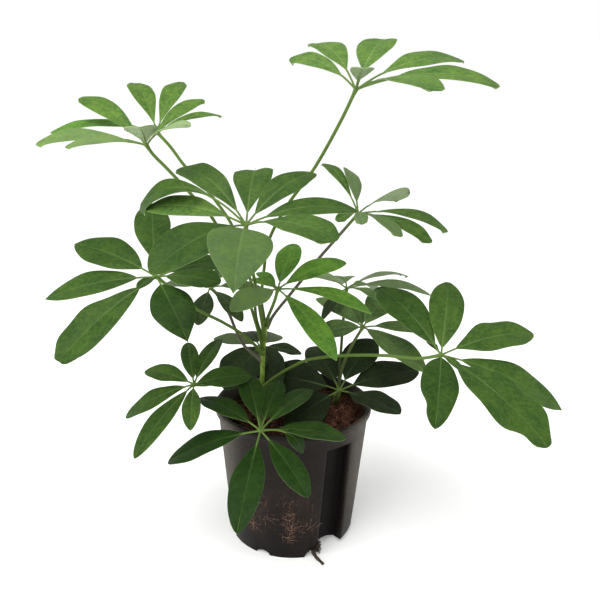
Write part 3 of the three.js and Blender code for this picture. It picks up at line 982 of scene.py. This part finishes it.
# A leaf's stalk swells at its foot and at the hub. A blade folds up by an angle along its rib and falls
# off toward its edges. Its waves, ripples and curl are shares of its own size.
stalk_radius = 1.25
foot_swelling = (0.9, 7)
hub_swelling = (0.5, 2.5)
hub_radius = 2.1
leaflet_stalk_radius = 0.7
blade_thickness = 0.42
blade_least = 0.35
fold_angle = 11
edge_fall = 0.13
wave_share = 0.045
wave_counts = (1.2, 2.6)
ripple_share = 0.024
ripple_count = 2.4
curl_share = 0.014
curl_start = 0.72
blunt_start = 0.7
blade_rows = 34
blade_columns = 8


def blade_outline(share, late, point):
    """Half the width of a blade at a share of its length: wider toward the tip when late is above 1."""
    return np.sin(math.pi * share ** late) ** (0.8 - 0.2 * share + point * share ** 2)


def tilt_of(lean, toward):
    """The turn that leans a wheel of leaflets by lean degrees toward a compass turn."""
    angle = math.radians(toward)
    hinge = Vector((-math.sin(angle), math.cos(angle), 0))
    return np.array(Matrix.Rotation(math.radians(lean), 3, hinge))


def tip_rise(along, start):
    """0 up to a share of a blade's length, and from there a curve up to 1 at its tip."""
    return np.clip((along - start) / (1 - start), 0, 1) ** 2


def add_stalk(shape, line, radii, sides, shade, chance, tone):
    """A round stalk. Its shade runs from -1, purple-brown, over 0, green, to 1, bright."""
    shape.loft(tube_rings(line, radii, sides), 1, blade=(shade[:, None], 0, chance),
               size=(0, 0, 0), under=0, tone=tone)


def add_leaflet(shape, hub, tilt, leaf, leaflet, draw):
    """One leaflet: its thin stalk, which runs on as the rib, and its blade."""
    turn, reach, droop, width, *more = leaflet
    own = leaf | (more[0] if more else {})
    tone = own["tone"] + draw.normal(0, 0.03)
    arch, neck = own["arch"], own["neck"]
    chance = draw.random()

    angle, fall = math.radians(turn), math.radians(droop)
    out = tilt @ (math.cos(angle) * math.cos(fall), math.sin(angle) * math.cos(fall), -math.sin(fall))
    lift = tilt @ (0, 0, 1)
    lift = lift - out * (lift @ out)
    lift /= np.linalg.norm(lift)
    side = np.cross(lift, out)
    blade_length = reach * (1 - neck)

    def centre(shares):
        bow = arch * reach * 4 * shares * (1 - shares)
        return hub + np.outer(shares * reach, out) + np.outer(bow, lift)

    def facing(shares):
        slope = arch * 4 * (1 - 2 * shares)
        face = lift - np.outer(slope, out)
        return face / np.linalg.norm(face, axis=1, keepdims=True)

    # The blade's grid: shares of its length, closer at both ends, and across it from edge to edge.
    even = np.linspace(0, 1, blade_rows)
    along = ((even + (1 - np.cos(math.pi * even)) / 2) / 2)[:, None]
    half = width * blade_length * blade_outline(along * own["cut"], own["late"], own["point"]) / 2
    half = np.maximum(half, blade_least)
    across = np.sin(np.linspace(-1, 1, 2 * blade_columns + 1) * math.pi / 2)
    edge = (across >= 0).astype(int)
    outward = abs(across)

    waves = draw.uniform(*wave_counts, 2)[edge]
    starts = draw.uniform(0, 2 * math.pi, 2)[edge]
    wave_height = draw.uniform(0.5, 1.0) * width * blade_length * wave_share * own["wave"]
    curl = draw.uniform(0.2, 1.0) * curl_share * reach * own["curl"]
    roll = np.radians(draw.normal(0, 5) + own["roll"] + own["twist"] * along)
    ripple = np.sin(2 * math.pi * ripple_count * along + draw.uniform(0, 2 * math.pi, 2)[edge])

    uneven = 1 + ripple_share * own["wave"] * ripple * outward ** 3
    place, dented_side, depth, spread = own["dent"]
    dent = depth * np.exp(-((along - place) / spread) ** 2) * across ** 2
    uneven = uneven - np.where(dented_side * across > 0, dent, 0)
    reach_out = half * across * uneven
    rise = half * (math.tan(math.radians(fold_angle)) * outward ** 1.1 - edge_fall * outward ** 3)
    wavy = np.sin(2 * math.pi * waves * along + starts)
    rise = rise + wave_height * wavy * outward ** 2.2 * np.sin(math.pi * along) ** 0.5
    rise = rise - curl * tip_rise(along, curl_start)
    rounding = 1 - np.sqrt(1 - 0.97 * across ** 2)
    pull = own["notch"] * np.cos(across * math.pi / 2) ** 2 + 1.15 * (1 - own["cut"]) * rounding
    slide = -pull * tip_rise(along, blunt_start) * blade_length
    turned_out = reach_out * np.cos(roll) - rise * np.sin(roll)
    turned_up = reach_out * np.sin(roll) + rise * np.cos(roll)
    shares = neck + along[:, 0] * (1 - neck)
    face = facing(shares)[:, None]
    upper = centre(shares)[:, None] + turned_out[..., None] * side
    upper = upper + turned_up[..., None] * face + slide[..., None] * out
    normal = np.cross(np.gradient(upper, axis=0), np.gradient(upper, axis=1))
    normal /= np.linalg.norm(normal, axis=2, keepdims=True) + 1e-9
    normal = np.where(np.sum(normal * face, axis=2, keepdims=True) < 0, -normal, normal)
    lower = upper - normal * blade_thickness

    # Tops carry their share of the pale underside colour, partly painted sheen; undersides carry 1.
    under = np.repeat([own["pale_and_sheen"], 1], len(across))
    across = np.concatenate([across[::-1], across])
    shape.loft(np.concatenate([upper[:, ::-1], lower], axis=1), 0, "strips", blade=(along, across, chance),
               size=(along * blade_length, half * across, half), under=under, tone=tone)

    # The leaflet's stalk thickens at the hub, and thins out as the rib under the blade.
    shares = np.concatenate([np.linspace(0, neck, 9), np.linspace(neck, 0.97, 18)[1:]])
    on_blade = np.clip((shares - neck) / (1 - neck), 0, 1)
    radii = leaflet_stalk_radius * (1 - 0.85 * on_blade ** 0.5) + 0.4 * np.exp(-shares * reach / 1.6)
    sink = np.where(on_blade > 0, blade_thickness * 0.5 + radii * 0.45, 0)
    line = centre(shares) - facing(shares) * sink[:, None]
    add_stalk(shape, line, radii, 9, 0.8 + 0.2 * (1 - on_blade), chance, tone)


def make_leaf(name, leaf, coats, seed):
    draw = np.random.default_rng(seed)
    leaf = usual_leaf | leaf
    shape = Shape()
    hub = np.array(leaf["stalk"][-1], float)
    tilt = tilt_of(leaf["lean"], leaf["toward"])
    line = smooth_route(leaf["stalk"], 2.2)
    run = np.linalg.norm(line - line[0], axis=1)
    radii = stalk_radius + swelling(run, *foot_swelling) + swelling(run - run[-1], *hub_swelling)
    shares = np.linspace(0, 1, len(line))
    shade = shares ** 1.5 * 0.85 - leaf["dull"] * (1 - shares ** 12)
    add_stalk(shape, line, radii, 12, shade, draw.random(), leaf["tone"])
    knob = unit_ball(6, 12) * hub_radius * (0.85, 0.85, 0.7) @ tilt.T + hub
    shape.loft(knob, 1, blade=(1, 0, 0.5), size=(0, 0, 0), under=0, tone=leaf["tone"])
    for leaflet in leaf["leaflets"]:
        add_leaflet(shape, hub, tilt, leaf, leaflet, draw)
    made = shape.piece(name + "_shown", coats, crease=55)
    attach(made, "root")
    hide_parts(name)


# The greens of the blotches, against the leaf's own green, and how soft the blotches' edges are.
flesh_low = (0.48, 0.62, 0.7)
flesh_high = (1.5, 1.36, 1.1)
soft = (0.36, 0.64)


def blade_paint(name, dark, light, rib, under, gloss, shine):
    """A leaf's blade: two greens in soft blotches, a pale rib, side veins, and a paler underside."""
    paint, place = new_paint(name)
    along, across, chance = paint.split(paint.mark("blade", "Vector"))
    _, out, half = paint.split(paint.mark("size", "Vector"))
    out = abs(out)
    underside_and_sheen_share, tone = paint.mark("under"), paint.mark("tone")

    blotch = paint.cloud(place, 55, 4)
    mottle = paint.cloud(place, 330, 3)
    grain = paint.cloud(place, 2600, 2)

    # Side veins leave the rib in pairs that don't quite face each other, and bend toward the tip.
    stagger = across.ease(-0.001, 0.001) * 0.5
    veins = 11 + 3 * chance
    rank = (along - 0.2 * abs(across) ** 1.3) * veins + stagger
    ridge = abs(rank % 1 - 0.5) * 2
    vein = ridge.ease(0.80, 1.0) * (1 - abs(across).ease(0.72, 0.97))
    rib_width = 0.62 - 0.42 * along
    on_rib = 1 - (out / rib_width).ease(0.45, 1.0)
    near_rib = 1 - (out / rib_width).ease(0.5, 4.0)
    edge = 1 - (half - out).ease(0.12, 0.55)

    # The green runs from dark to light with tone and shade, which paints shade and light as well as age.
    flesh = paint.mix(tone, dark, light)
    patch = blotch.ease(*soft) * 0.35 + mottle.ease(*soft) * 0.4 + grain.ease(*soft) * 0.25
    colour = paint.mix(patch, paint.times(flesh, flesh_low), paint.times(flesh, flesh_high))
    rib = paint.mix(tone * 0.8 + 0.2, flesh, rib)
    colour = paint.mix(vein * 0.10, colour, rib)
    colour = paint.mix(near_rib * 0.08 + on_rib * (0.5 - 0.36 * along), colour, rib)
    beneath = paint.mix(patch * 0.3, under, flesh)
    beneath = paint.mix(on_rib * 0.4 + vein * 0.15, beneath, rib)
    # Undersides take the pale underside colour, and so do tops in part, as painted sheen.
    colour = paint.mix(underside_and_sheen_share * 0.95, colour, beneath)
    # Painted sheen: the blade is painted lighter toward its edges.
    colour = paint.mix(edge * 0.35, colour, rib)
    relief = ridge.ease(0.55, 1.0) * -0.2 + near_rib * -0.5 + grain * 0.2 + mottle * 0.7
    return paint.finish(
        Base_Color=colour,
        Roughness=gloss + 0.14 * mottle + 0.2 * underside_and_sheen_share,
        Specular_IOR_Level=shine,
        Subsurface_Weight=0.1,
        Subsurface_Radius=(0.7, 1.0, 0.25),
        Subsurface_Scale=0.0010,
        Normal=paint.relief(relief, 0.5, 0.0006),
    )


stalk_purple = (0.090, 0.078, 0.060, 1)


def stalk_paint(name, foot, bright):
    paint, place = new_paint(name)
    shade, _, _ = paint.split(paint.mark("blade", "Vector"))
    blotch = paint.cloud(place, 160, 3)
    fleck = paint.cloud(place, 1100, 4, 0.7)
    colour = paint.mix((shade + 0.3 * blotch - 0.15).ease(0.0, 1.0), foot, bright)
    colour = paint.mix((shade * -1).ease(0.2, 1.0) * 0.85, colour, stalk_purple)
    colour = paint.mix(fleck.ease(0.6, 0.72) * 0.25, colour, foot)
    return paint.finish(
        Base_Color=colour,
        Roughness=0.52,
        Specular_IOR_Level=0.12,
        Normal=paint.relief(fleck, 0.25, 0.0004),
    )


def grow(kind, leaves, seed, foot, bright, **greens):
    """Paints and makes the leaves of one kind."""
    coats = [blade_paint(kind + "_blade", **greens), stalk_paint(kind + "_stalk", foot, bright)]
    for number, (name, leaf) in enumerate(leaves.items(), seed):
        make_leaf(name, leaf, coats, number)


grow("grown", grown_leaves, 100, foot=(0.074, 0.124, 0.020, 1), bright=(0.095, 0.162, 0.032, 1),
     dark=(0.006, 0.025, 0.002, 1), light=(0.080, 0.155, 0.032, 1), rib=(0.200, 0.300, 0.100, 1),
     under=(0.230, 0.300, 0.160, 1), gloss=0.36, shine=0.07)


# ---- The young leaves ----
# Three leaves that opened last, soft and bright yellow-green: two at the top left, and one in the
# middle that is still small. Their build is that of the grown ones.

young_leaves = {
    "leaf_top_left_front": dict(
        stalk=[(-25, 0, 160), (-30, -5, 181), (-36, -8, 203), (-49, -10, 238), (-62, -10, 267),
               (-77, -11, 285), (-96, -9, 305), (-107, -8, 316), (-111, -8, 322)],
        tone=0.25, lean=20, toward=-100, arch=0.08, wave=0.4, late=1.4,
        leaflets=[(137, 82, -13, 0.25, dict(cut=0.92, neck=0.08)),
                  (171, 88, 0, 0.26, dict(cut=0.9, roll=-8, pale_and_sheen=0.2)),
                  (-170, 58, -6, 0.34, dict(cut=0.92, pale_and_sheen=0.25)), (59, 72, -8, 0.24, dict(cut=0.9)),
                  (-45, 66, -28, 0.3, dict(pale_and_sheen=0.6)), (-80, 50, -38, 0.5, dict(pale_and_sheen=0.75, neck=0.06))]),
    "leaf_top_left_back": dict(
        stalk=[(-25, 1, 167), (-31, 5, 184), (-33, 10, 198), (-40, 16, 228), (-51, 20, 257), (-65, 24, 277),
               (-90, 26, 305), (-100, 28, 318), (-110, 28, 329)],
        tone=0.2, lean=14, toward=-80, arch=0.08, wave=0.4, late=1.4, neck=0.1,
        leaflets=[(180, 84, 3, 0.28, dict(cut=0.9, roll=-6, tone=1)),
                  (115, 74, -17, 0.31, dict(cut=0.9, notch=0.03)), (83, 74, -18, 0.28, dict(cut=0.9)),
                  (47, 66, -2, 0.24, dict(cut=0.9))]),
    "leaf_young_centre": dict(
        stalk=[(-23, -1, 181), (-21, -6, 190), (-18, -12, 199), (-15, -19, 209), (-13, -24, 218)],
        tone=0.85, lean=22, toward=-80, arch=0.08, neck=0.1, wave=0.5,
        leaflets=[(79, 60, -3, 0.36, dict(late=1.05)), (40, 70, 1, 0.3),
                  (-3, 75, 10, 0.23, dict(late=1.5, arch=0.11, point=0.2)),
                  (-56, 80, 5, 0.26, dict(point=0.15, late=1.3)),
                  (-130, 50, -8, 0.5, dict(tone=0.3, pale_and_sheen=0.25)), (144, 28, 10, 0.35), (122, 33, 10, 0.35)]),
}

grow("young", young_leaves, 200, foot=(0.070, 0.116, 0.020, 1), bright=(0.102, 0.180, 0.034, 1),
     dark=(0.072, 0.132, 0.024, 1), light=(0.086, 0.205, 0.026, 1), rib=(0.220, 0.340, 0.100, 1),
     under=(0.340, 0.430, 0.240, 1), gloss=0.38, shine=0.08)


# ---- The old leaves ----
# Five low leaves in the shade of the others, dark blue-green and dull: three on the short stem and
# two at the back of the tall one. Their build is that of the grown ones.

old_leaves = {
    "leaf_right_behind": dict(
        stalk=[(35, 8, 115), (38, 10, 127), (41, 13, 142), (48, 18, 158), (57, 22, 173)],
        tone=0.75, lean=16, arch=0.06, neck=0.06,
        leaflets=[(130, 60, 1, 0.3, dict(tone=0.9)), (96, 46, 6, 0.36, dict(tone=0.6)),
                  (59, 66, -4, 0.44, dict(tone=1)), (12, 60, 12, 0.34, dict(tone=1, neck=0.16)),
                  (-51, 71, 2, 0.42), (-176, 40, 8, 0.5, dict(tone=0.8, roll=-14))]),
    "leaf_far_right": dict(
        stalk=[(35, 8, 111), (38, 19, 127), (40, 33, 146), (42, 48, 170), (45, 62, 195)],
        tone=1, lean=4, arch=0.1,
        leaflets=[(28, 66, -2, 0.24, dict(pale_and_sheen=0.9, arch=0.11, cut=0.88)), (6, 78, 6, 0.3, dict(pale_and_sheen=0.3)),
                  (58, 70, 20, 0.3), (90, 90, 17, 0.3), (130, 62, 6, 0.3, dict(pale_and_sheen=0.5)),
                  (-56, 48, -4, 0.3), (-118, 49, 15, 0.24, dict(tone=0.05))]),
    "leaf_low_right": dict(
        stalk=[(35, 8, 110), (37, 3, 117), (38, 2, 124)],
        tone=0.04, lean=8, toward=-80, arch=0.05,
        leaflets=[(21, 74, -6, 0.56), (-40, 60, -5, 0.6), (62, 68, -17, 0.54), (110, 66, -7, 0.54),
                  (157, 66, 4, 0.6, dict(roll=-42, tone=0)), (-134, 62, 8, 0.56, dict(roll=-20))]),
    "leaf_left_behind": dict(
        stalk=[(-26, 0, 150), (-42, 10, 160), (-49, 16, 171), (-55, 22, 183), (-65, 28, 197),
               (-71, 30, 203)],
        tone=0.5, lean=14, arch=0.07, dull=1.7,
        leaflets=[(-98, 43, 15, 0.5, dict(tone=0.2)), (160, 48, 10, 0.4, dict(pale_and_sheen=0.5)),
                  (-48, 45, 16, 0.4, dict(tone=0.3)), (115, 60, 6, 0.4), (72, 62, 4, 0.4),
                  (20, 50, 14, 0.4)]),
    "leaf_behind_stem": dict(
        stalk=[(-26, 0, 145), (-28, 16, 145), (-30, 40, 147)],
        tone=0.1, lean=12, arch=0.06,
        leaflets=[(158, 46, 3, 0.5, dict(pale_and_sheen=0.35, tone=0.6)),
                  (-122, 53, 17, 0.8, dict(neck=0.02, late=0.85)),
                  (-66, 46, 18, 0.58, dict(roll=16, neck=0.02, late=0.8)), (8, 38, 14, 0.6),
                  (110, 47, 13, 0.5), (71, 46, 16, 0.5, dict(pale_and_sheen=0.5))]),
}

grow("old", old_leaves, 300, foot=(0.048, 0.066, 0.018, 1), bright=(0.098, 0.155, 0.034, 1),
     dark=(0.015, 0.023, 0.010, 1), light=(0.095, 0.165, 0.052, 1), rib=(0.170, 0.230, 0.110, 1),
     under=(0.190, 0.230, 0.140, 1), gloss=0.42, shine=0.08)
